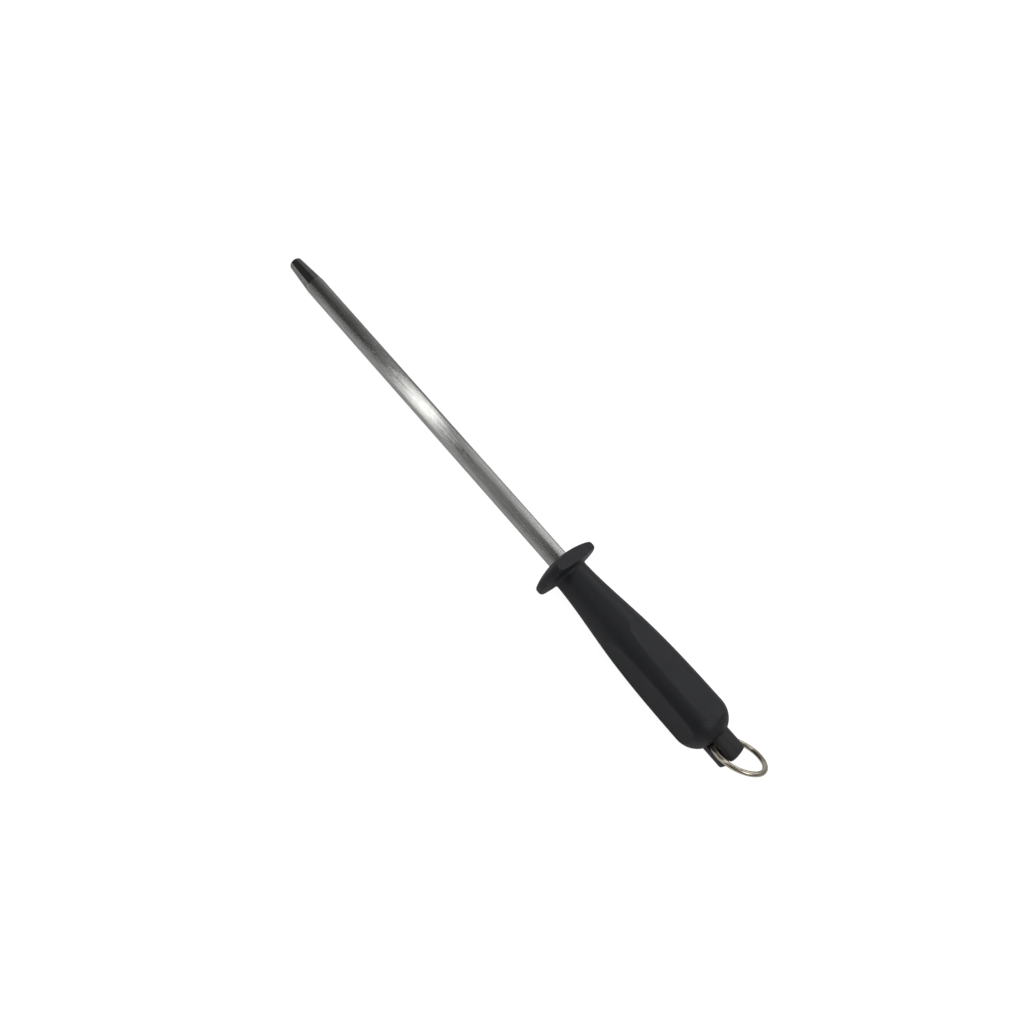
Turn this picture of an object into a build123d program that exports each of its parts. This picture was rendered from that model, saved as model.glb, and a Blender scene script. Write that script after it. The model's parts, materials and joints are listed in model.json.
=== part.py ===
from build123d import *
from math import acos, degrees
import os

# Knife sharpening steel: a fluted rod in a moulded handle, with a hanging ring on a swivel.
#
# Millimetres. The origin is on the steel's axis where the rod leaves the guard.
# +X runs along the axis from the guard to the butt of the handle, so the rod points along -X.
# +Z is square to the guard's upper flat, and the steel lies on the lower one.

# Rod and tang
ROD_LENGTH = 228.6          # guard to tip, nine inches
ROD_RADIUS = 5.5
TIP_LENGTH = 20.0           # smooth tapered tip
TIP_RADIUS = 3.8
TIP_EDGE = 0.9              # rounding of the tip's end
TANG_SIDE = 8.0             # square tang inside the guard and grip
TANG_CORNER = 1.2

# Guard: a domed plate with two opposite flats and a short hub behind it
GUARD_RADIUS = 18.5
GUARD_FLAT = 13.1           # axis to each flat
GUARD_DOME = 40.0           # radius of the domed front
GUARD_SEAT = 6.0            # radius of the flat seat for the rod's shoulder
GUARD_RIM = (3.85, 7.65)    # front and back of the rim along the axis
GUARD_RIM_EDGE = 1.7
HUB_RADIUS = 9.3
HUB_ROOT = 9.0              # where the back of the plate meets the hub
HUB_FILLET = 1.8
GUARD_LENGTH = 11.0

# Grip: stations along the axis with the radius there, then a round dome
GRIP_SHAPE = [(GUARD_LENGTH, HUB_RADIUS), (31.0, 10.8), (50.5, 12.85), (70.0, 14.05), (102.8, 14.5)]
GRIP_START_SLOPE = 0.03
FLAT_FRONT = (52.0, 11.95)  # each of the four flats: along and from the axis at the front of its plane
FLAT_BACK = (101.0, 12.74)  # and at the back of its plane
FLAT_RUN_OUT = 20.0         # radius of the curves that lift the flat's two ends out of the grip
RUN_OUT_SWEEP = 45.0        # degrees of each curve, enough to leave the grip
BUTT_DOME = 12.3            # radius of the rounding at the butt

# Swivel: the lug's round base turns in a socket in the butt, on a shoulder screw
LUG_RADIUS = 7.8
SOCKET_GAP = 0.06
SOCKET_FLOOR = 105.0
SOCKET_CHAMFER = 0.4
WASHER_THICK = 1.0
WASHER_RADIUS = 7.2
AXIAL_PLAY = 0.05
SHOULDER_RADIUS = 2.5
BORE_GAP = 0.05
LUG_FLOOR = 3.5             # thickness held between washer and screw head
HEAD_RADIUS = 3.5
HEAD_HEIGHT = 2.3
HEAD_EDGE = 0.575           # rounding of the head's rim
HEAD_WELL = 3.7             # radius of the well the screw head sits in
THREAD_RADIUS = 2.0
THREAD_LENGTH = 13.0
HEX_RADIUS = 1.45
HEX_DEPTH = 1.2

# Lug, cross pin and ring
LUG_END = 127.2
LUG_CROWN = 1.6             # height of the lug's crowned end
LUG_EDGE = 1.6
SLOT_WIDTH = 4.0
SLOT_BOTTOM = 112.4
LUG_TURN = -20.0            # rest position of the lug about the axis
PIN_X = 117.6
PIN_RADIUS = 1.5
PIN_BLIND = 6.0             # depth of the blind hole from the axis
PIN_RECESS = 0.3
PIN_EDGE = 0.3              # chamfer at both ends
RING_RADIUS = 12.8          # centre line of the wire
WIRE_RADIUS = 1.3
RING_HANG = 3.0             # pin's centre to the wire's centre
RING_SWING = -15.0          # rest position of the ring in the slot's plane
RING_LEAN = 24.0            # rest position of the ring out of the slot's plane, about its touch on the pin

# Worked out from the sizes above
LUG_BASE = SOCKET_FLOOR + WASHER_THICK + AXIAL_PLAY
HEAD_SEAT = LUG_BASE + LUG_FLOOR
HEAD_FACE = HEAD_SEAT + AXIAL_PLAY
RING_TOUCH = (PIN_RADIUS + RING_HANG - WIRE_RADIUS) / 2     # axis to pin's side, where the ring bears
LONG = 400.0                # longer than any cut has to be


def turned(*edges):
    """A solid turned about X from a closed outline with X along the axis and Y as the radius."""
    return revolve(make_face(edges), Axis.X)


def round_bar(start, end, radius):
    """A cylinder along X."""
    return Pos((start + end) / 2, 0, 0) * Rot(0, 90, 0) * Cylinder(radius, end - start)


def square_bar(start, end):
    """The tang's rounded square section along X."""
    section = RectangleRounded(TANG_SIDE, TANG_SIDE, TANG_CORNER)
    return extrude(Pos(start, 0, 0) * Rot(0, 90, 0) * section, end - start)


def grip_flat():
    """What one flat takes off the grip: all that lies beyond a slightly sloping plane with curved ends."""
    front, back = Vector(*FLAT_FRONT), Vector(*FLAT_BACK)
    along = (back - front).normalized()
    front_curve = JernArc(front, -along, FLAT_RUN_OUT, -RUN_OUT_SWEEP)
    back_curve = JernArc(back, along, FLAT_RUN_OUT, RUN_OUT_SWEEP)
    front_end, back_end = front_curve @ 1, back_curve @ 1
    clear = 2 * GUARD_RADIUS
    plane = Line(front, back)
    beyond = Polyline(front_end, (front_end.X, clear), (back_end.X, clear), back_end)
    return extrude(make_face([plane, front_curve, back_curve, *beyond.edges()]), clear, both=True)


def build_rod():
    taper_start = TIP_LENGTH - ROD_LENGTH
    outline = Polyline((0, 0), (0, ROD_RADIUS), (taper_start, ROD_RADIUS),
                       (-ROD_LENGTH, TIP_RADIUS), (-ROD_LENGTH, 0), close=True)
    blade = turned(outline)
    end_edge = blade.edges().filter_by(GeomType.CIRCLE).sort_by(Axis.X)[0]
    blade = fillet(end_edge, TIP_EDGE)
    tang = square_bar(0, SOCKET_FLOOR)
    thread_hole = round_bar(SOCKET_FLOOR - THREAD_LENGTH, SOCKET_FLOOR, THREAD_RADIUS)
    return blade + (tang - thread_hole)


def build_guard():
    rim_front, rim_back = GUARD_RIM
    dome = RadiusArc((0, GUARD_SEAT), (rim_front, GUARD_RADIUS), GUARD_DOME)
    rest = Polyline((rim_front, GUARD_RADIUS), (rim_back, GUARD_RADIUS), (HUB_ROOT, HUB_RADIUS),
                    (GUARD_LENGTH, HUB_RADIUS), (GUARD_LENGTH, 0), (0, 0), (0, GUARD_SEAT))
    outline = make_face([dome, *rest.edges()])
    rim_corners = outline.vertices().group_by(Axis.Y)[-1]
    outline = fillet(rim_corners, GUARD_RIM_EDGE)
    root = outline.vertices().sort_by_distance((HUB_ROOT, HUB_RADIUS))[0]
    outline = fillet(root, HUB_FILLET)
    plate = revolve(outline, Axis.X) & Box(LONG, LONG, 2 * GUARD_FLAT)
    return plate - square_bar(0, GUARD_LENGTH)


def build_grip():
    belly_x, belly_radius = GRIP_SHAPE[-1]
    mouth_radius = LUG_RADIUS + SOCKET_GAP
    dome_centre = belly_radius - BUTT_DOME
    dome_sweep = degrees(acos((mouth_radius - dome_centre) / BUTT_DOME))
    side = Spline(GRIP_SHAPE, tangents=[(1, GRIP_START_SLOPE), (1, 0)])
    dome = JernArc((belly_x, belly_radius), (1, 0), BUTT_DOME, -dome_sweep)
    mouth_x = (dome @ 1).X
    closing = Polyline((mouth_x, mouth_radius), (mouth_x, 0), (GUARD_LENGTH, 0), GRIP_SHAPE[0])
    body = turned(side, dome, *closing.edges())
    for turn in (0, 90, 180, 270):
        body -= Rot(turn, 0, 0) * grip_flat()
    socket = round_bar(SOCKET_FLOOR, LUG_END, mouth_radius)
    chamfer_start = mouth_x - SOCKET_CHAMFER
    mouth_cone = turned(Polyline((chamfer_start, 0), (chamfer_start, mouth_radius),
                                 (mouth_x, mouth_radius + SOCKET_CHAMFER), (mouth_x, 0), close=True))
    return body - socket - mouth_cone - square_bar(GUARD_LENGTH, SOCKET_FLOOR)


def build_swivel_washer():
    disc = round_bar(SOCKET_FLOOR, SOCKET_FLOOR + WASHER_THICK, WASHER_RADIUS)
    return disc - round_bar(SOCKET_FLOOR, SOCKET_FLOOR + WASHER_THICK, SHOULDER_RADIUS + BORE_GAP)


def build_swivel_screw():
    thread = round_bar(SOCKET_FLOOR - THREAD_LENGTH, SOCKET_FLOOR, THREAD_RADIUS)
    shoulder = round_bar(SOCKET_FLOOR, HEAD_FACE, SHOULDER_RADIUS)
    head = round_bar(HEAD_FACE, HEAD_FACE + HEAD_HEIGHT, HEAD_RADIUS)
    head = fillet(head.edges().filter_by(GeomType.CIRCLE).sort_by(Axis.X)[-1], HEAD_EDGE)
    socket = extrude(Pos(HEAD_FACE + HEAD_HEIGHT, 0, 0) * Rot(0, -90, 0) * RegularPolygon(HEX_RADIUS, 6),
                     HEX_DEPTH)
    return thread + shoulder + head - socket


def build_swivel_lug():
    shoulder_x = LUG_END - LUG_CROWN
    crown_radius = (LUG_RADIUS ** 2 + LUG_CROWN ** 2) / (2 * LUG_CROWN)
    crown = RadiusArc((shoulder_x, LUG_RADIUS), (LUG_END, 0), crown_radius)
    sides = Polyline((LUG_END, 0), (LUG_BASE, 0), (LUG_BASE, LUG_RADIUS), (shoulder_x, LUG_RADIUS))
    outline = make_face([crown, *sides.edges()])
    shoulder = outline.vertices().sort_by_distance((shoulder_x, LUG_RADIUS))[0]
    body = revolve(fillet(shoulder, LUG_EDGE), Axis.X)
    slot = Pos(SLOT_BOTTOM + LONG / 2, 0, 0) * Box(LONG, LONG, SLOT_WIDTH)
    well = round_bar(HEAD_SEAT, LUG_END, HEAD_WELL)
    bore = round_bar(LUG_BASE, HEAD_SEAT, SHOULDER_RADIUS + BORE_GAP)
    hole_length = PIN_BLIND + LUG_RADIUS
    pin_hole = Pos(PIN_X, 0, PIN_BLIND - hole_length / 2) * Cylinder(PIN_RADIUS + BORE_GAP, hole_length)
    return Rot(LUG_TURN, 0, 0) * (body - slot - well - bore - pin_hole)


def build_cross_pin():
    low = PIN_RECESS - LUG_RADIUS
    high = PIN_BLIND - AXIAL_PLAY
    pin = Pos(PIN_X, 0, (low + high) / 2) * Cylinder(PIN_RADIUS, high - low)
    pin = chamfer(pin.edges().filter_by(GeomType.CIRCLE), PIN_EDGE)
    return Rot(LUG_TURN, 0, 0) * pin


def build_ring():
    hung = Pos(RING_TOUCH + RING_RADIUS - RING_HANG, 0, 0) * Torus(RING_RADIUS, WIRE_RADIUS)
    leaned = Pos(-RING_TOUCH, 0, 0) * Rot(0, -RING_LEAN, 0) * hung
    return Rot(LUG_TURN, 0, 0) * Pos(PIN_X, 0, 0) * Rot(0, 0, RING_SWING) * leaned


PIECES = {
    "rod": build_rod,
    "guard": build_guard,
    "grip": build_grip,
    "swivel_washer": build_swivel_washer,
    "swivel_screw": build_swivel_screw,
    "swivel_lug": build_swivel_lug,
    "cross_pin": build_cross_pin,
    "ring": build_ring,
}

os.makedirs("parts", exist_ok=True)
for name, build in PIECES.items():
    export_step(build(), f"parts/{name}.step")
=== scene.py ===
"""Knife sharpening steel: the looks of every piece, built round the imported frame.

Metres in Blender, millimetres in the named sizes below. The steel's axis is X: the tip is at -X and the
butt with its hanging ring at +X. Most pieces are skins: rows of points, each once round the axis.
"""

import bmesh
import bpy
import json
import math
import numpy as np
from mathutils import Matrix, Vector


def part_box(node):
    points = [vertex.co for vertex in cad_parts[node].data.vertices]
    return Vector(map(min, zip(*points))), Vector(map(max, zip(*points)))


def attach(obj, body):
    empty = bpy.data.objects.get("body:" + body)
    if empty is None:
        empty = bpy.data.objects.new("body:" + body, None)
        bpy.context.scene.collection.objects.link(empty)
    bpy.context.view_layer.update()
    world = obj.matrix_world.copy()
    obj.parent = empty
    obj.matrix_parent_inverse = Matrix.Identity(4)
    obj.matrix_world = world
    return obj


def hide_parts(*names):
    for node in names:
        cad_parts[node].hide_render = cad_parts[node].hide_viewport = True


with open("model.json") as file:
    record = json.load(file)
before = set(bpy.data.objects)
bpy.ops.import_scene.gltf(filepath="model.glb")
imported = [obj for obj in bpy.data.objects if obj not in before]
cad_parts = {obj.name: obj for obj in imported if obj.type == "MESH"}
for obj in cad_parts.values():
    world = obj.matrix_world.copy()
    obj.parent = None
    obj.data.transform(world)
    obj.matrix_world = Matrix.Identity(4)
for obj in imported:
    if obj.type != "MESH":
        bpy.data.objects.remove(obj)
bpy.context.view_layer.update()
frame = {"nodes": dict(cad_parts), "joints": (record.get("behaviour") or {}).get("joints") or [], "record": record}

MM = 0.001
AXIS_CELLS = 208                 # points round a turned piece, a multiple of 8
LEAST_EDGE = math.radians(9.0)   # half-angle of the narrowest flat that the mesh's lines follow
EDGE_BAND = math.radians(3.0)    # where the mesh's lines gather, either side of a flat's edge
FLAT_SHARE, EDGE_SHARE, ALL_SHARES = 9, 8, 26    # lines on half a flat, across its edge, and in all

# Sizes that the frame's boxes give, in millimetres
rod_low, _ = (np.array(corner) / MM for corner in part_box("rod"))
guard_low, guard_high = (np.array(corner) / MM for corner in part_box("guard"))
_, grip_high = (np.array(corner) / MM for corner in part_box("grip"))
washer_low, washer_high = (np.array(corner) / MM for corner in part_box("swivel_washer"))
screw_low, screw_high = (np.array(corner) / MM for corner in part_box("swivel_screw"))
lug_low, lug_high = (np.array(corner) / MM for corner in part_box("swivel_lug"))
TIP_X = rod_low[0]
GUARD_RADIUS = guard_high[1]
GUARD_FLAT = guard_high[2]
GUARD_END = guard_high[0]
MOUTH_X = grip_high[0]
SOCKET_FLOOR = washer_low[0]
LUG_BASE = lug_low[0]
LUG_END = lug_high[0]

# Sizes inside those boxes, in millimetres
ROD_RADIUS = 5.5
TIP_LENGTH = 20.0
TIP_RADIUS = 3.8
TIP_EDGE = 0.9
FLUTES = 64
FLUTE_DEPTH = 0.07
FLUTE_SPREAD = (0.75, 1.1)       # least and most of a flute's share of that depth
FLUTE_CELLS = 6                  # points across each flute
FLUTE_SHARPNESS = 1.6
FLUTE_SEED = 11
WAVINESS = 0.06                  # slow change of a flute's depth along the rod
WAVE_LENGTH = 40.0
TANG_HALF = 4.0
TANG_CORNER = 1.2
GUARD_SEAT = 6.0
GUARD_DOME = 40.0
RIM_FRONT = 3.85
RIM_BACK = 7.65
RIM_EDGE = 1.7
HUB_ROOT = 9.0
HUB_RADIUS = 9.3
HUB_FILLET = 1.8
GUARD_EDGE = 0.15                # softening of the guard flats' edges
GRIP_SHAPE = ((11.0, 9.3), (31.0, 10.8), (50.5, 12.85), (70.0, 14.05), (102.8, 14.5))
GRIP_START_SLOPE = 0.03
FLAT_FRONT = (52.0, 11.95)
FLAT_BACK = (101.0, 12.74)
FLAT_RUN_OUT = 20.0
GRIP_EDGE = 0.18                 # softening of the grip flats' edges
BUTT_DOME = 12.3
LUG_RADIUS = 7.8
SOCKET_GAP = 0.06
SOCKET_CHAMFER = 0.4
WASHER_RADIUS = 7.2
SHOULDER_RADIUS = 2.5
BORE_GAP = 0.05
LUG_FLOOR = 3.5
HEAD_RADIUS = 3.5
HEAD_HEIGHT = 2.3
HEAD_WELL = 3.7
THREAD_RADIUS = 2.0
THREAD_LENGTH = 13.0
THREAD_PITCH = 0.7
THREAD_DEPTH = 0.38
HEX_RADIUS = 1.45
HEX_DEPTH = 1.2
LUG_CROWN = 1.6
SLOT_HALF = 2.0
SLOT_BOTTOM = 112.4
PIN_RADIUS = 1.5
PIN_TOP = 6.0
PIN_RECESS = 0.3
RING_RADIUS = 12.8
WIRE_RADIUS = 1.3
RING_STEPS = 360
WIRE_CELLS = 40
RING_JOINT = math.radians(205.0)    # the butt joint, from the ring's far end, hidden in the slot
JOINT_DEPTH = 0.09
JOINT_WIDTH = 0.16

# Softening of the lug's edges, and the mesh it is settled from
CROWN_EDGE = 0.7
BASE_EDGE = 0.3
SLOT_ROOT = 1.0
SLOT_EDGE = 0.35
WELL_EDGE = 0.2
BORE_EDGE = 0.15
LUG_VOXEL = 0.17
SETTLING_ROUNDS = 8
SETTLING_STEP = 0.1

joints = {joint["name"]: joint for joint in frame["joints"]}
mounts = {mount["name"]: mount for mount in frame["record"]["mounts"]}
PIN_CENTRE = np.array(joints["ring_swing"]["pos_m"]) / MM
PIN_AXIS = np.array(joints["ring_swing"]["axis"])
LUG_TURN = math.atan2(PIN_AXIS[1], PIN_AXIS[2])     # from +Z towards +Y


# ---------------------------------------------------------------- mesh helpers

def unit(v):
    v = np.asarray(v, float)
    return v / np.linalg.norm(v)


def smooth_min(a, b, k):
    """The lesser of a and b, with the corner between them rounded over a width k."""
    h = np.maximum(k - np.abs(a - b), 0) / k
    return np.minimum(a, b) - h * h * k / 4


def smooth_max(a, b, k):
    return -smooth_min(-a, -b, k)


def make_object(name, points, faces, sharp=None):
    """A smooth-shaded mesh object from points in millimetres. sharp tests an edge's two point numbers."""
    mesh = bpy.data.meshes.new(name)
    mesh.from_pydata((np.asarray(points) * MM).tolist(), [], faces)
    work = bmesh.new()
    work.from_mesh(mesh)
    bmesh.ops.recalc_face_normals(work, faces=work.faces)
    work.to_mesh(mesh)
    work.free()
    mesh.polygons.foreach_set("use_smooth", [True] * len(mesh.polygons))
    if sharp is not None:
        ends = np.zeros(len(mesh.edges) * 2, int)
        mesh.edges.foreach_get("vertices", ends)
        marks = mesh.attributes.new("sharp_edge", "BOOLEAN", "EDGE")
        marks.data.foreach_set("value", sharp(ends.reshape(-1, 2)).tolist())
    mesh.update()
    made = bpy.data.objects.new(name, mesh)
    bpy.context.scene.collection.objects.link(made)
    return made


def skin(name, rows, closed=False, sharp_rows=()):
    """A skin over rows of points. closed joins the last row to the first. Otherwise each end has a pole."""
    count, around = len(rows), len(rows[0])
    points = np.concatenate(rows)
    start = np.arange(around)
    after = (start + 1) % around
    faces = []
    for i in range(count if closed else count - 1):
        low, high = i * around, (i + 1) % count * around
        faces.extend(np.stack([low + start, low + after, high + after, high + start], 1).tolist())
    if not closed:
        for end in (0, count - 1):
            pole = len(points)
            points = np.concatenate([points, rows[end].mean(0, keepdims=True)])
            base = end * around
            faces.extend([[base + int(j), base + int(k), pole] for j, k in zip(start, after)])
    sharp_set = np.array(sorted(sharp_rows), int)

    def sharp(ends):
        row = ends // around
        same = (row[:, 0] == row[:, 1]) & (row[:, 0] < count)
        return same & np.isin(row[:, 0], sharp_set)

    return make_object(name, points, faces, sharp)


def rounded(corners, steps=7):
    """A profile of (x, radius) points through corners (x, radius, rounding), with an arc at each rounded
    corner and a held point either side of it, so that the faces between stay flat in shading."""
    places = [np.array(c[:2], float) for c in corners]
    profile = []
    for i, (x, radius, rounding) in enumerate(corners):
        here = places[i]
        if rounding <= 0 or i in (0, len(corners) - 1):
            profile.append(here)
            continue
        into, out = unit(here - places[i - 1]), unit(places[i + 1] - here)
        turn = math.acos(max(-1.0, min(1.0, float(into @ out))))
        tangent = rounding * math.tan(turn / 2)
        side = unit(out - into * float(into @ out))
        first = here - into * tangent
        hold = 0.25 * tangent
        profile.append(first - into * hold)
        for step in range(steps + 1):
            angle = turn * step / steps
            profile.append(first + rounding * (math.sin(angle) * into + (1 - math.cos(angle)) * side))
        profile.append(here + out * (tangent + hold))
    return profile


def fill(profile, step):
    """The profile with no gap longer than step."""
    filled = [np.asarray(profile[0], float)]
    for point in profile[1:]:
        gap = np.asarray(point, float) - filled[-1]
        pieces = max(1, math.ceil(np.linalg.norm(gap) / step))
        start = filled[-1]
        filled.extend(start + gap * (k + 1) / pieces for k in range(pieces))
    return filled


def arc(start, end, radius, steps):
    """Points on the shorter arc from start to end, bulging to the left of the way from start to end."""
    start, end = np.array(start, float), np.array(end, float)
    chord = end - start
    left = unit([-chord[1], chord[0]])
    drop = math.sqrt(radius ** 2 - (chord @ chord) / 4)
    centre = (start + end) / 2 - left * drop
    a, b = (math.atan2(*(p - centre)[::-1]) for p in (start, end))
    return [centre + radius * np.array([math.cos(t), math.sin(t)]) for t in np.linspace(a, b, steps + 1)]


def round_angles(cells=AXIS_CELLS):
    """Even angles round the axis, from +Z towards +Y."""
    return np.linspace(0, 2 * math.pi, cells, endpoint=False)


def flat_angles(edge, flats, cells=AXIS_CELLS):
    """Angles that gather at both edges of each flat, so that the mesh's lines run along the flats' edges.
    edge is the angle from a flat's middle to its edge; the flats are evenly spaced, the first facing +Z."""
    sector = 2 * math.pi / flats
    half_cells = cells // flats // 2
    on_flat = half_cells * FLAT_SHARE // ALL_SHARES
    on_edge = half_cells * EDGE_SHARE // ALL_SHARES
    beyond = half_cells - on_flat - on_edge
    half = np.concatenate([
        np.linspace(0, edge - EDGE_BAND, on_flat, endpoint=False),
        np.linspace(edge - EDGE_BAND, edge + EDGE_BAND, on_edge, endpoint=False),
        np.linspace(edge + EDGE_BAND, sector / 2, beyond, endpoint=False),
    ])
    other = sector - np.concatenate([[sector / 2], half[:0:-1]])
    one = np.concatenate([half, other])
    return np.concatenate([one + sector * k for k in range(flats)])


def turned_row(x, radius, angles):
    """One row of points at x, with radius a number or one value for each angle."""
    radius = np.broadcast_to(radius, angles.shape)
    return np.stack([np.full(angles.shape, x), radius * np.sin(angles), radius * np.cos(angles)], 1)


def square_radius(angles, half=TANG_HALF, corner=TANG_CORNER):
    """Radius of a rounded square section at each angle."""
    across, along = np.abs(np.cos(angles)), np.abs(np.sin(angles))
    return smooth_min(half / np.maximum(across, 1e-6), half / np.maximum(along, 1e-6), corner)


def hex_radius(angles, corner_radius=HEX_RADIUS):
    """Radius of a hexagon at each angle."""
    sector = math.pi / 3
    within = (angles + sector / 2) % sector - sector / 2
    return corner_radius * math.cos(sector / 2) / np.cos(np.abs(within))


def flat_radius(radius, flat, angles, flats, k):
    """The lesser of the turned radius and the radius that reaches the nearest flat."""
    sector = 2 * math.pi / flats
    within = (angles + sector / 2) % sector - sector / 2
    return smooth_min(np.broadcast_to(radius, angles.shape), flat / np.cos(within), k)


def flat_edge(radius, flat):
    """Angle from a flat's middle to its edge, and no less than the mesh allows where there is no flat."""
    return max(math.acos(min(1.0, flat / radius)), LEAST_EDGE)


def smooth_curve(points, start_slope, end_slope, xs):
    """A cubic spline through (x, y) points with given end slopes, at xs."""
    px, py = np.array(points, float).T
    gap = np.diff(px)
    rise = np.diff(py) / gap
    n = len(px)
    system = np.zeros((n, n))
    right = np.zeros(n)
    system[0, 0] = system[-1, -1] = 1
    right[0], right[-1] = start_slope, end_slope
    for i in range(1, n - 1):
        system[i, i - 1] = 1 / gap[i - 1]
        system[i, i] = 2 * (1 / gap[i - 1] + 1 / gap[i])
        system[i, i + 1] = 1 / gap[i]
        right[i] = 3 * (rise[i - 1] / gap[i - 1] + rise[i] / gap[i])
    slope = np.linalg.solve(system, right)
    i = np.clip(np.searchsorted(px, xs) - 1, 0, n - 2)
    t = (xs - px[i]) / gap[i]
    return ((1 + 2 * t) * (1 - t) ** 2 * py[i] + t * (1 - t) ** 2 * gap[i] * slope[i]
            + t * t * (3 - 2 * t) * py[i + 1] + t * t * (t - 1) * gap[i] * slope[i + 1])


# ---------------------------------------------------------------- materials

class Look:
    """A Principled material and short ways to add the nodes that give it detail."""

    def __init__(self, name, colour, roughness, metallic=0.0):
        self.material = bpy.data.materials.new(name)
        self.material.use_nodes = True
        self.nodes = self.material.node_tree.nodes
        self.links = self.material.node_tree.links
        self.shader = next(n for n in self.nodes if n.type == "BSDF_PRINCIPLED")
        self.shader.inputs["Metallic"].default_value = metallic
        self.shader.inputs["Base Color"].default_value = (*colour, 1)
        self.shader.inputs["Roughness"].default_value = roughness
        self.material.diffuse_color = (*colour, 1)
        self.place = self.nodes.new("ShaderNodeTexCoord").outputs["Object"]
        self.normal = None

    def noise(self, size, stretch=(1, 1, 1), detail=3.0, roughness=0.55):
        """Noise whose features are about size millimetres, stretched along X, Y and Z."""
        mapping = self.nodes.new("ShaderNodeMapping")
        mapping.inputs["Scale"].default_value = [1 / (size * MM * s) for s in stretch]
        self.links.new(self.place, mapping.inputs["Vector"])
        texture = self.nodes.new("ShaderNodeTexNoise")
        texture.inputs["Scale"].default_value = 1.0
        texture.inputs["Detail"].default_value = detail
        texture.inputs["Roughness"].default_value = roughness
        self.links.new(mapping.outputs["Vector"], texture.inputs["Vector"])
        return texture.outputs["Fac"]

    def spread(self, value, low, high, from_low=0.3, from_high=0.7):
        """value, taken from from_low..from_high to low..high and held there."""
        node = self.nodes.new("ShaderNodeMapRange")
        node.inputs["From Min"].default_value = from_low
        node.inputs["From Max"].default_value = from_high
        node.inputs["To Min"].default_value = low
        node.inputs["To Max"].default_value = high
        self.links.new(value, node.inputs["Value"])
        return node.outputs["Result"]

    def maths(self, operation, a, b):
        node = self.nodes.new("ShaderNodeMath")
        node.operation = operation
        for socket, value in zip(node.inputs, (a, b)):
            if isinstance(value, (int, float)):
                socket.default_value = value
            else:
                self.links.new(value, socket)
        return node.outputs["Value"]

    def edges(self, low=0.52, high=0.6):
        """1 on outward edges and 0 elsewhere."""
        pointiness = self.nodes.new("ShaderNodeNewGeometry").outputs["Pointiness"]
        return self.spread(pointiness, 0.0, 1.0, low, high)

    def tint(self, share, dark, light):
        """The base colour runs from dark to light with share."""
        ramp = self.nodes.new("ShaderNodeValToRGB")
        ramp.color_ramp.elements[0].color = (*dark, 1)
        ramp.color_ramp.elements[1].color = (*light, 1)
        self.links.new(share, ramp.inputs["Fac"])
        self.links.new(ramp.outputs["Color"], self.shader.inputs["Base Color"])

    def rough(self, value):
        self.links.new(value, self.shader.inputs["Roughness"])

    def bump(self, height, distance, strength=1.0):
        """Adds relief of that many millimetres."""
        node = self.nodes.new("ShaderNodeBump")
        node.inputs["Strength"].default_value = strength
        node.inputs["Distance"].default_value = distance * MM
        self.links.new(height, node.inputs["Height"])
        if self.normal is not None:
            self.links.new(self.normal, node.inputs["Normal"])
        self.normal = node.outputs["Normal"]
        self.links.new(self.normal, self.shader.inputs["Normal"])


def fluted_steel():
    """The rod's working length: a silky grain and bright rubbed streaks over its grooves."""
    look = Look("rod_fluted_steel", (0.5, 0.5, 0.49), 0.2, metallic=1.0)
    streaks = look.noise(0.5, (22, 1, 1), detail=4)
    cloud = look.noise(9.0, (3, 1, 1), detail=3)
    grain = look.noise(0.5, (3, 1, 1), detail=3, roughness=0.6)
    shade = look.maths("ADD", look.maths("MULTIPLY", streaks, 0.5), look.maths("MULTIPLY", cloud, 0.5))
    look.tint(look.spread(shade, 0, 1, 0.32, 0.68), (0.45, 0.45, 0.435), (0.7, 0.7, 0.68))
    look.rough(look.spread(look.maths("ADD", streaks, grain), 0.12, 0.2, 0.7, 1.3))
    look.bump(grain, 0.006)
    look.bump(streaks, 0.007)
    return look.material


def polished_steel():
    """The rod's smooth tapered tip."""
    look = Look("rod_polished_tip", (0.5, 0.5, 0.49), 0.12, metallic=1.0)
    lines = look.noise(0.25, (1, 12, 12), detail=3)
    cloud = look.noise(4.0, detail=2)
    look.tint(look.spread(cloud, 0, 1), (0.3, 0.3, 0.295), (0.4, 0.4, 0.39))
    look.rough(look.spread(lines, 0.05, 0.12))
    look.bump(lines, 0.0015)
    return look.material


def moulded_plastic(name, dark, light, roughness, grain):
    """Satin moulded plastic: a fine grain, a slow change of tone, and edges rubbed lighter and smoother."""
    look = Look(name, dark, roughness)
    fine = look.noise(grain, detail=3, roughness=0.6)
    cloud = look.noise(14.0, (2, 1, 1), detail=3)
    scuff = look.noise(1.6, (7, 1, 1), detail=5, roughness=0.65)
    edge = look.edges()
    tone = look.maths("ADD", look.spread(cloud, 0.0, 0.55), look.maths("MULTIPLY", edge, 0.45))
    look.tint(tone, dark, light)
    worn = look.maths("SUBTRACT", look.spread(scuff, roughness - 0.06, roughness + 0.07),
                      look.maths("MULTIPLY", edge, 0.08))
    look.rough(worn)
    look.bump(fine, 0.018)
    look.bump(scuff, 0.012)
    return look.material


def plated_steel():
    """Zinc-plated steel for the screw, pin and washer."""
    look = Look("zinc_plated_steel", (0.55, 0.55, 0.55), 0.3, metallic=1.0)
    cloud = look.noise(1.5, detail=4)
    fine = look.noise(0.12, detail=2)
    look.tint(look.spread(cloud, 0, 1), (0.42, 0.42, 0.43), (0.62, 0.62, 0.61))
    look.rough(look.spread(cloud, 0.22, 0.38))
    look.bump(fine, 0.006)
    return look.material


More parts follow.
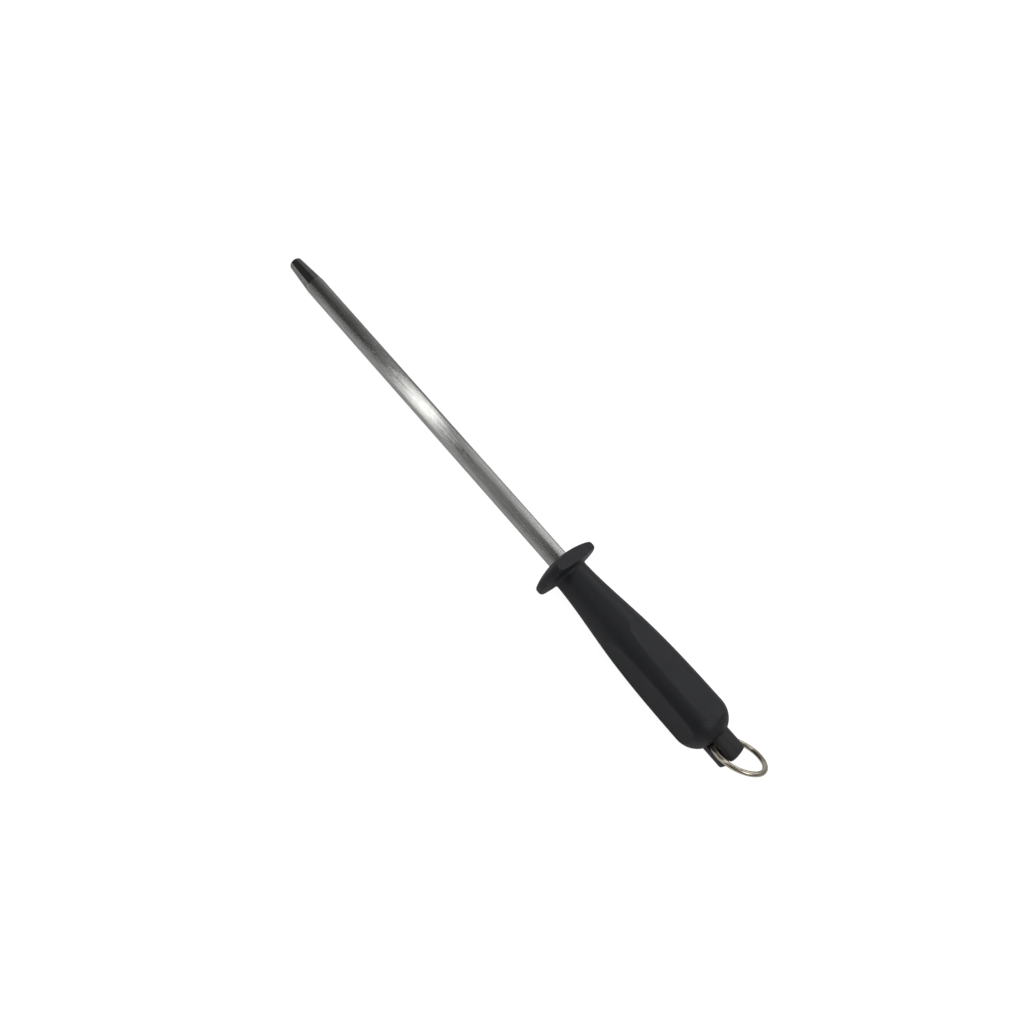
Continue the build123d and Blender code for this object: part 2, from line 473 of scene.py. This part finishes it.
def worn_nickel():
    """The ring's warm nickel plating, smooth with soft rubbed patches."""
    look = Look("worn_nickel", (0.62, 0.57, 0.48), 0.18, metallic=1.0)
    cloud = look.noise(3.5, detail=4)
    scratch = look.noise(0.5, (1, 1, 1), detail=5, roughness=0.7)
    look.tint(look.spread(cloud, 0, 1), (0.62, 0.56, 0.455), (0.78, 0.72, 0.6))
    look.rough(look.spread(scratch, 0.2, 0.3))
    look.bump(scratch, 0.0015)
    return look.material


def finish_piece(piece, body, slot, materials, *nodes):
    """The piece takes a body's motion and its materials, and stands for CAD nodes. slot is not used."""
    for material in materials:
        piece.data.materials.append(material)
    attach(piece, body)
    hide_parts(*nodes)


# ---------------------------------------------------------------- pieces

def build_rod():
    """Fluted rod with a smooth tapered tip, and the square tang that the guard and grip are moulded on."""
    angles = round_angles(FLUTES * FLUTE_CELLS)
    draw = np.random.default_rng(FLUTE_SEED)
    depths = np.repeat(draw.uniform(*FLUTE_SPREAD, FLUTES), FLUTE_CELLS) * FLUTE_DEPTH
    groove = (0.5 + 0.5 * np.cos(FLUTES * angles)) ** FLUTE_SHARPNESS
    taper_x = TIP_X + TIP_LENGTH
    tip = rounded([(TIP_X, 0, 0), (TIP_X, TIP_RADIUS, TIP_EDGE), (taper_x, ROD_RADIUS, 0)], steps=9)
    tip = [p for p in fill(tip, 1.2) if p[1] > 0.2]
    run_out = [(taper_x + s, ROD_RADIUS) for s in (0.02, 0.5, 1.5)]
    body = [(x, ROD_RADIUS) for x in np.linspace(taper_x + 4, -0.05, 64)]
    rows = []
    for x, radius in [*tip, *run_out, *body]:
        waviness = 1 + WAVINESS * np.sin(x / WAVE_LENGTH + 9 * np.sin(angles * 3))
        cut = ROD_RADIUS - depths * groove * waviness
        rows.append(turned_row(x, np.minimum(radius, cut), angles))
    fluted_rows = len(rows)
    tang_end = SOCKET_FLOOR
    hole_start = tang_end - THREAD_LENGTH
    section = square_radius(angles)
    rows.append(turned_row(0.0, ROD_RADIUS - 0.15, angles))
    for x in np.linspace(0.0, tang_end, 30):
        rows.append(turned_row(x, section, angles))
    for x in (tang_end, hole_start):
        rows.append(turned_row(x, THREAD_RADIUS, angles))
    last = len(rows) - 1
    edge_rows = (fluted_rows - 1, fluted_rows, fluted_rows + 1, last - 2, last - 1, last)
    rod = skin("rod_fluted", rows, sharp_rows=edge_rows)
    finish_piece(rod, "handle", "rod_steel", (fluted_steel(), polished_steel()), "rod")
    polished_end = (taper_x - 0.6) * MM
    for face in rod.data.polygons:
        face.material_index = 1 if face.center.x < polished_end else 0
    return rod


def build_guard(plastic):
    """Domed guard with two flats, a rounded rim and a short hub, closed round the tang's square hole."""
    dome = arc((0, GUARD_SEAT), (RIM_FRONT, GUARD_RADIUS), GUARD_DOME, 8)
    near_rim = dome[-2]
    outside = [(*p, 0) for p in dome[:-1]]
    outside += [(RIM_FRONT, GUARD_RADIUS, RIM_EDGE), (RIM_BACK, GUARD_RADIUS, RIM_EDGE),
                (HUB_ROOT, HUB_RADIUS, HUB_FILLET), (GUARD_END, HUB_RADIUS, 0)]
    profile = arc((0, GUARD_SEAT), near_rim, GUARD_DOME, 44)[:-1]
    profile += rounded(outside[len(dome) - 2:], steps=9)
    profile = fill(profile, 0.24)
    flats = 2
    rows = []
    for x, radius in profile:
        angles = flat_angles(flat_edge(radius, GUARD_FLAT), flats)
        rows.append(turned_row(x, flat_radius(radius, GUARD_FLAT, angles, flats, GUARD_EDGE), angles))
    back = len(rows) - 1
    section = square_radius(angles)
    for share in (0.5, 1.0):
        rows.append(turned_row(GUARD_END, (1 - share) * HUB_RADIUS + share * section, angles))
    for x in np.linspace(GUARD_END, 0, 5)[1:]:
        rows.append(turned_row(x, section, angles))
    guard = skin("guard_shell", rows, closed=True, sharp_rows=(0, back, back + 2, len(rows) - 1))
    finish_piece(guard, "handle", "handle_plastic", (plastic,), "guard")
    return guard


def grip_profile():
    """The grip's side and dome as (x, radius), closest where the flats begin, and the mouth's radius."""
    start, end = GRIP_SHAPE[0][0], GRIP_SHAPE[-1][0]
    xs = np.concatenate([
        np.linspace(start, 44.0, 40),
        np.linspace(44.4, 54.0, 40),
        np.linspace(54.6, end, 60),
    ])
    side = list(zip(xs, smooth_curve(GRIP_SHAPE, GRIP_START_SLOPE, 0.0, xs)))
    centre_radius = GRIP_SHAPE[-1][1] - BUTT_DOME
    mouth = LUG_RADIUS + SOCKET_GAP
    sweep = math.acos((mouth + SOCKET_CHAMFER - centre_radius) / BUTT_DOME)
    dome = [(end + BUTT_DOME * math.sin(a), centre_radius + BUTT_DOME * math.cos(a))
            for a in np.linspace(0, sweep, 60)[1:]]
    return side + dome, mouth


def flat_distance(x):
    """How far a flat of the grip is from the axis: a sloping line, lifted by an arc beyond either end."""
    (front_x, front), (back_x, back) = FLAT_FRONT, FLAT_BACK
    beyond = max(front_x - x, x - back_x, 0.0)
    lift = FLAT_RUN_OUT - math.sqrt(max(0.0, FLAT_RUN_OUT ** 2 - beyond ** 2))
    return front + (x - front_x) * (back - front) / (back_x - front_x) + lift


def build_grip(plastic):
    """Moulded grip: a swelling turned body with four soft-edged flats, a domed butt and a socket."""
    profile, mouth = grip_profile()
    flats = 4
    rows = []
    for x, radius in profile:
        flat = flat_distance(x)
        angles = flat_angles(flat_edge(radius, flat), flats)
        rows.append(turned_row(x, flat_radius(radius, flat, angles, flats, GRIP_EDGE), angles))
    lip = len(rows) - 1
    angles = flat_angles(LEAST_EDGE, flats)
    section = square_radius(angles)
    rows.append(turned_row(MOUTH_X - SOCKET_CHAMFER, mouth, angles))
    for x in np.linspace(MOUTH_X - 1.0, SOCKET_FLOOR, 5):
        rows.append(turned_row(x, mouth, angles))
    floor = len(rows) - 1
    for share in (0.5, 1.0):
        rows.append(turned_row(SOCKET_FLOOR, (1 - share) * mouth + share * section, angles))
    bore = len(rows) - 1
    for x in np.linspace(SOCKET_FLOOR, GUARD_END, 20)[1:]:
        rows.append(turned_row(x, section, angles))
    rows.append(turned_row(GUARD_END, 0.5 * HUB_RADIUS + 0.5 * section, angles))
    front = len(rows) - 2
    grip = skin("grip_shell", rows, closed=True, sharp_rows=(0, lip, lip + 1, floor, bore, front))
    finish_piece(grip, "handle", "handle_plastic", (plastic,), "grip")
    return grip


def build_washer(steel):
    """Thrust washer under the lug, with its edges broken."""
    angles = round_angles(96)
    inner = SHOULDER_RADIUS + BORE_GAP
    front, back = SOCKET_FLOOR, washer_high[0]
    outline = rounded([(front, (inner + WASHER_RADIUS) / 2, 0), (front, WASHER_RADIUS, 0.15),
                       (back, WASHER_RADIUS, 0.15), (back, inner, 0.15), (front, inner, 0.15),
                       (front, (inner + WASHER_RADIUS) / 2 - 0.2, 0)], steps=4)
    rows = [turned_row(x, radius, angles) for x, radius in outline]
    washer = skin("thrust_washer", rows, closed=True)
    finish_piece(washer, "handle", "plain_steel", (steel,), "swivel_washer")
    return washer


def build_screw(steel):
    """Shoulder screw: a rolled thread, the shoulder the lug turns on, and a head with a hexagon socket."""
    angles = round_angles(96)
    start = screw_low[0]
    head_top = screw_high[0]
    head_face = head_top - HEAD_HEIGHT
    rows = []
    turns = THREAD_LENGTH / THREAD_PITCH
    for x in np.linspace(start, SOCKET_FLOOR - 0.7, int(turns * 8)):
        phase = ((x - start) / THREAD_PITCH - angles / (2 * math.pi)) % 1.0
        ridge = 1 - np.abs(2 * phase - 1)
        fade = min(1.0, (x - start) / 0.8 + 0.25, (SOCKET_FLOOR - x) / 1.4)
        rows.append(turned_row(x, THREAD_RADIUS - THREAD_DEPTH * (1 - fade * ridge), angles))
    root_radius = THREAD_RADIUS - THREAD_DEPTH
    shank = rounded([(SOCKET_FLOOR - 0.7, root_radius, 0), (SOCKET_FLOOR, root_radius, 0.1),
                     (SOCKET_FLOOR, SHOULDER_RADIUS, 0.15), (head_face, SHOULDER_RADIUS, 0.1),
                     (head_face, HEAD_RADIUS, 0.15), (head_top, HEAD_RADIUS, HEAD_HEIGHT / 4),
                     (head_top, HEX_RADIUS + 0.6, 0)], steps=5)
    rows.extend(turned_row(x, radius, angles) for x, radius in fill(shank, 0.6))
    socket = hex_radius(angles)
    rows.append(turned_row(head_top, socket + 0.12, angles))
    rows.append(turned_row(head_top - 0.12, socket, angles))
    rows.append(turned_row(head_top - HEX_DEPTH, socket, angles))
    rows.append(turned_row(head_top - HEX_DEPTH - 0.25, 0.4, angles))
    last = len(rows) - 1
    screw = skin("shoulder_screw", rows, sharp_rows=(0, last - 3, last - 2, last - 1))
    finish_piece(screw, "handle", "plain_steel", (steel,), "swivel_screw")
    return screw


def to_pin_frame(points):
    """Points in millimetres in the lug's own frame, where the cross pin stands along Z."""
    cos, sin = math.cos(LUG_TURN), math.sin(LUG_TURN)
    x, y, z = np.moveaxis(np.asarray(points, float), -1, 0)
    return np.stack([x, cos * y - sin * z, sin * y + cos * z], -1)


def from_pin_frame(points):
    cos, sin = math.cos(LUG_TURN), math.sin(LUG_TURN)
    x, y, z = np.moveaxis(np.asarray(points, float), -1, 0)
    return np.stack([x, cos * y + sin * z, -sin * y + cos * z], -1)


def lug_shape(p):
    """Signed distance, near enough, to the lug with its edges softened. p is in the lug's own frame."""
    x, y, z = np.moveaxis(p, -1, 0)
    radius = np.hypot(y, z)
    crown_radius = (LUG_RADIUS ** 2 + LUG_CROWN ** 2) / (2 * LUG_CROWN)
    crown = np.sqrt((x - LUG_END + crown_radius) ** 2 + radius ** 2) - crown_radius
    body = smooth_max(radius - LUG_RADIUS, crown, CROWN_EDGE)
    body = smooth_max(body, LUG_BASE - x, BASE_EDGE)
    slot = smooth_max(np.abs(z) - SLOT_HALF, SLOT_BOTTOM - x, SLOT_ROOT)
    body = smooth_max(body, -slot, SLOT_EDGE)
    well = np.maximum(radius - HEAD_WELL, LUG_BASE + LUG_FLOOR - x)
    body = smooth_max(body, -well, WELL_EDGE)
    body = smooth_max(body, SHOULDER_RADIUS + BORE_GAP - radius, BORE_EDGE)
    hole = np.maximum(np.hypot(x - PIN_CENTRE[0], y) - PIN_RADIUS - BORE_GAP, z - PIN_TOP)
    return smooth_max(body, -hole, WELL_EDGE)


def slope_of(shape, p, step=0.01):
    """Unit outward normals and the slope's size."""
    columns = []
    for axis in range(3):
        move = np.zeros(3)
        move[axis] = step
        columns.append((shape(p + move) - shape(p - move)) / (2 * step))
    slope = np.stack(columns, -1)
    size = np.maximum(np.linalg.norm(slope, axis=-1), 1e-6)
    return slope / size[..., None], size


def build_lug(plastic):
    """Forked lug: the CAD lug remeshed in even small faces, then settled on its softened shape."""
    source = frame["nodes"]["swivel_lug"].copy()
    source.data = source.data.copy()
    bpy.context.scene.collection.objects.link(source)
    remesh = source.modifiers.new("even", "REMESH")
    remesh.mode = "VOXEL"
    remesh.voxel_size = LUG_VOXEL * MM
    bpy.context.view_layer.update()
    even = source.evaluated_get(bpy.context.evaluated_depsgraph_get()).to_mesh()
    points = np.zeros(len(even.vertices) * 3)
    even.vertices.foreach_get("co", points)
    points = points.reshape(-1, 3) / MM
    faces = [list(face.vertices) for face in even.polygons]
    source.to_mesh_clear()
    bpy.data.objects.remove(source)
    local = to_pin_frame(points)
    for _ in range(SETTLING_ROUNDS):
        normal, size = slope_of(lug_shape, local)
        move = np.clip(lug_shape(local) / size, -SETTLING_STEP, SETTLING_STEP)
        local = local - normal * move[:, None]
    normal, _ = slope_of(lug_shape, local)
    lug = make_object("forked_lug", from_pin_frame(local), faces)
    lug.data.normals_split_custom_set_from_vertices(from_pin_frame(normal).tolist())
    finish_piece(lug, "lug", "lug_plastic", (plastic,), "swivel_lug")
    return lug


def build_pin(steel):
    """Cross pin with broken ends, standing in the lug's blind hole."""
    angles = round_angles(64)
    low, high = PIN_RECESS - LUG_RADIUS, PIN_TOP - BORE_GAP
    outline = rounded([(low, 0, 0), (low, PIN_RADIUS, 0.3), (high, PIN_RADIUS, 0.3), (high, 0, 0)], steps=5)
    outline = [p for p in fill(outline, 0.5) if p[1] > 0.05]
    rows = []
    for height, radius in outline:
        row = turned_row(height, radius, angles)
        stood = np.stack([row[:, 1] + PIN_CENTRE[0], row[:, 2], row[:, 0]], 1)
        rows.append(from_pin_frame(stood))
    pin = skin("hinge_pin", rows)
    finish_piece(pin, "pin", "plain_steel", (steel,), "cross_pin")
    return pin


def build_ring(nickel):
    """Hanging ring bent from round wire, with its butt joint closed and dressed flush."""
    centre = np.array(mounts["hang_ring"]["pos_m"]) / MM
    facing = unit(mounts["hang_ring"]["axis"])
    outward = centre - PIN_CENTRE
    outward = unit(outward - facing * (outward @ facing))
    beside = np.cross(facing, outward)
    wire = round_angles(WIRE_CELLS)
    rows = []
    for turn in np.linspace(0, 2 * math.pi, RING_STEPS, endpoint=False):
        spoke = math.cos(turn) * outward + math.sin(turn) * beside
        arc_from_joint = abs((turn - RING_JOINT + math.pi) % (2 * math.pi) - math.pi) * RING_RADIUS
        radius = WIRE_RADIUS - JOINT_DEPTH * math.exp(-(arc_from_joint / JOINT_WIDTH) ** 2)
        rows.append(centre + RING_RADIUS * spoke
                    + radius * (np.cos(wire)[:, None] * spoke + np.sin(wire)[:, None] * facing))
    ring = skin("wire_ring", rows, closed=True)
    finish_piece(ring, "ring", "ring_nickel", (nickel,), "ring")
    return ring


# ---------------------------------------------------------------- surroundings

VIEW_DISTANCE = 400.2            # camera to the steel's axis
VIEW_SIDE = 37.6                 # degrees from straight above towards -Y
VIEW_FOOT = 55.3                 # where the axis is nearest the camera
VIEW_AIM = -34.8                 # where the camera points on the axis
VIEW_DROP = 1.43                 # the aim point's offset to the near side
VIEW_TURN = (0.66175, 0.74968)   # cosine and sine of the steel's slant in the frame
LENS = 27.78
SENSOR = 36.0

# Each light: degrees from straight up towards -Y, its lean towards +X, its distance, the place on the axis
# that it faces, its size along and across, and its radiance. The strips stand on an arc round the rod.
STRIP_SIDES = (-14, 36, 86)
SOFTBOXES = (
    ("far_softbox", -42, 4, 700, -20, (700, 520), 0.62),
    ("key_softbox", 12, 34, 800, 60, (460, 460), 2.0),
    *(("strip_light", side, -23, 600, -113, (60, 540), 2.4) for side in STRIP_SIDES),
    ("fill_card", 30, -13, 700, -40, (150, 420), 0.4),
    ("ridge_card", 20, 3, 700, 70, (320, 160), 0.75),
    ("side_card", -48, -8, 700, -30, (130, 500), 0.5),
)

# The room's light, its far side and how softly the two halves meet
ROOM_NEAR, ROOM_FAR = 0.07, 0.26
ROOM_FAR_SIDE = -106
ROOM_BLEND = (-0.06, 0.14)

# The floor: what the camera sees of its shading and glow, and what it throws on the object
SEEN_SHADE, SEEN_GLOW = 0.30, 0.965
THROWN_SHADE, THROWN_GLOW = 0.75, 0.13
FLOOR_REACH = 2500.0
FLOOR_GAP = 0.02                 # the floor stays this far under what rests on it
GUARD_REST_X = 1.9               # front edge of the guard's lower flat


def near_side(angle):
    """Unit vector square to the steel's axis, angle degrees from straight up towards -Y."""
    turn = math.radians(angle)
    return Vector((0, -math.sin(turn), math.cos(turn)))


def build_camera():
    towards = near_side(VIEW_SIDE)
    across = near_side(VIEW_SIDE - 90)
    eye = Vector((VIEW_FOOT, 0, 0)) + towards * VIEW_DISTANCE
    aim = Vector((VIEW_AIM, 0, 0)) - across * VIEW_DROP
    back = (eye - aim).normalized()
    along = (Vector((1, 0, 0)) - back * back.x).normalized()
    beside = back.cross(along)
    cos, sin = VIEW_TURN
    right = along * cos + beside * sin
    up = beside * cos - along * sin
    camera = bpy.data.objects.new("camera", bpy.data.cameras.new("camera"))
    camera.data.lens = LENS
    camera.data.sensor_width = SENSOR
    camera.data.clip_start = 0.01
    camera.data.clip_end = 20.0
    camera.matrix_world = Matrix.Translation(eye * MM) @ Matrix((right, up, back)).transposed().to_4x4()
    bpy.context.scene.collection.objects.link(camera)
    bpy.context.scene.camera = camera


def softbox(name, direction, distance, target, size, radiance):
    """A rectangular light that faces target, from direction, with an even radiance."""
    light = bpy.data.lights.new(name, "AREA")
    light.shape = "RECTANGLE"
    light.size, light.size_y = (s * MM for s in size)
    light.energy = radiance * light.size * light.size_y * math.pi
    lamp = bpy.data.objects.new(name, light)
    away = Vector(direction).normalized()
    lamp.location = (Vector(target) + away * distance) * MM
    along = (Vector((1, 0, 0)) - away * away.x).normalized()
    lamp.matrix_world = Matrix.Translation(lamp.location) @ Matrix(
        (along, away.cross(along), away)).transposed().to_4x4()
    bpy.context.scene.collection.objects.link(lamp)


def tipped(direction, towards_x):
    """A unit vector in the axis-square direction, leaning towards_x degrees along +X."""
    lean = math.radians(towards_x)
    return direction * math.cos(lean) + Vector((1, 0, 0)) * math.sin(lean)


def build_lights():
    for name, side, lean, distance, target_x, size, radiance in SOFTBOXES:
        softbox(name, tipped(near_side(side), lean), distance, (target_x, 0, 0), size, radiance)


def build_world():
    """A dim room, lighter on the far side. Straight views of it show the pale backdrop."""
    world = bpy.data.worlds.new("studio")
    world.use_nodes = True
    nodes, links = world.node_tree.nodes, world.node_tree.links
    nodes.clear()
    output = nodes.new("ShaderNodeOutputWorld")
    place = nodes.new("ShaderNodeTexCoord")
    dot = nodes.new("ShaderNodeVectorMath")
    dot.operation = "DOT_PRODUCT"
    dot.inputs[1].default_value = near_side(ROOM_FAR_SIDE)
    links.new(place.outputs["Generated"], dot.inputs[0])
    share = nodes.new("ShaderNodeMapRange")
    share.interpolation_type = "SMOOTHSTEP"
    share.inputs["From Min"].default_value = ROOM_BLEND[0]
    share.inputs["From Max"].default_value = ROOM_BLEND[1]
    share.inputs["To Min"].default_value = ROOM_NEAR
    share.inputs["To Max"].default_value = ROOM_FAR
    links.new(dot.outputs["Value"], share.inputs["Value"])
    room = nodes.new("ShaderNodeBackground")
    links.new(share.outputs["Result"], room.inputs["Strength"])
    backdrop = nodes.new("ShaderNodeBackground")
    backdrop.inputs["Color"].default_value = (1, 1, 1, 1)
    backdrop.inputs["Strength"].default_value = 1.0
    paths = nodes.new("ShaderNodeLightPath")
    mix = nodes.new("ShaderNodeMixShader")
    links.new(paths.outputs["Is Camera Ray"], mix.inputs["Fac"])
    links.new(room.outputs["Background"], mix.inputs[1])
    links.new(backdrop.outputs["Background"], mix.inputs[2])
    links.new(mix.outputs["Shader"], output.inputs["Surface"])
    bpy.context.scene.world = world


def floor_material():
    """A pale floor: near white with faint shadows where it is seen, and dimmer where it lights the object."""
    material = bpy.data.materials.new("pale_floor")
    material.use_nodes = True
    nodes, links = material.node_tree.nodes, material.node_tree.links
    nodes.clear()
    output = nodes.new("ShaderNodeOutputMaterial")
    paths = nodes.new("ShaderNodeLightPath")
    seen = nodes.new("ShaderNodeBsdfDiffuse")
    seen.inputs["Color"].default_value = (SEEN_SHADE, SEEN_SHADE, SEEN_SHADE, 1)
    glow = nodes.new("ShaderNodeEmission")
    glow.inputs["Strength"].default_value = SEEN_GLOW
    lit = nodes.new("ShaderNodeAddShader")
    links.new(seen.outputs["BSDF"], lit.inputs[0])
    links.new(glow.outputs["Emission"], lit.inputs[1])
    bounce = nodes.new("ShaderNodeBsdfDiffuse")
    bounce.inputs["Color"].default_value = (THROWN_SHADE, THROWN_SHADE, THROWN_SHADE, 1)
    thrown_glow = nodes.new("ShaderNodeEmission")
    thrown_glow.inputs["Strength"].default_value = THROWN_GLOW
    thrown = nodes.new("ShaderNodeAddShader")
    links.new(bounce.outputs["BSDF"], thrown.inputs[0])
    links.new(thrown_glow.outputs["Emission"], thrown.inputs[1])
    mix = nodes.new("ShaderNodeMixShader")
    links.new(paths.outputs["Is Camera Ray"], mix.inputs["Fac"])
    links.new(thrown.outputs["Shader"], mix.inputs[1])
    links.new(lit.outputs["Shader"], mix.inputs[2])
    links.new(mix.outputs["Shader"], output.inputs["Surface"])
    return material


def build_floor():
    """The steel lies on the guard's lower flat and on its tip, so the floor slopes between them."""
    rest = Vector((GUARD_REST_X, 0, guard_low[2]))
    tip = Vector((TIP_X + TIP_EDGE, 0, -TIP_RADIUS))
    slope = math.atan2(tip.z - rest.z, rest.x - tip.x)
    points = []
    for x_side, y_side in ((-1, -1), (1, -1), (1, 1), (-1, 1)):
        x, y = x_side * FLOOR_REACH, y_side * FLOOR_REACH
        points.append((x, y, rest.z - (x - rest.x) * math.tan(slope) - FLOOR_GAP))
    floor = make_object("floor", points, [[0, 1, 2, 3]])
    floor.data.materials.append(floor_material())


# Both plastics: dark and light tones, roughness, and the grain's size
grip_plastic = moulded_plastic(
    "handle_plastic", (0.0182, 0.0192, 0.0238), (0.0258, 0.0272, 0.0322), 0.5, 0.35)
lug_plastic = moulded_plastic(
    "lug_plastic", (0.0215, 0.0222, 0.0246), (0.0315, 0.0323, 0.0345), 0.48, 0.3)
zinc = plated_steel()
build_rod()
build_guard(grip_plastic)
build_grip(grip_plastic)
build_washer(zinc)
build_screw(zinc)
build_lug(lug_plastic)
build_pin(zinc)
build_ring(worn_nickel())
build_floor()
build_world()
build_lights()
build_camera()
bpy.context.scene.view_settings.view_transform = "Standard"
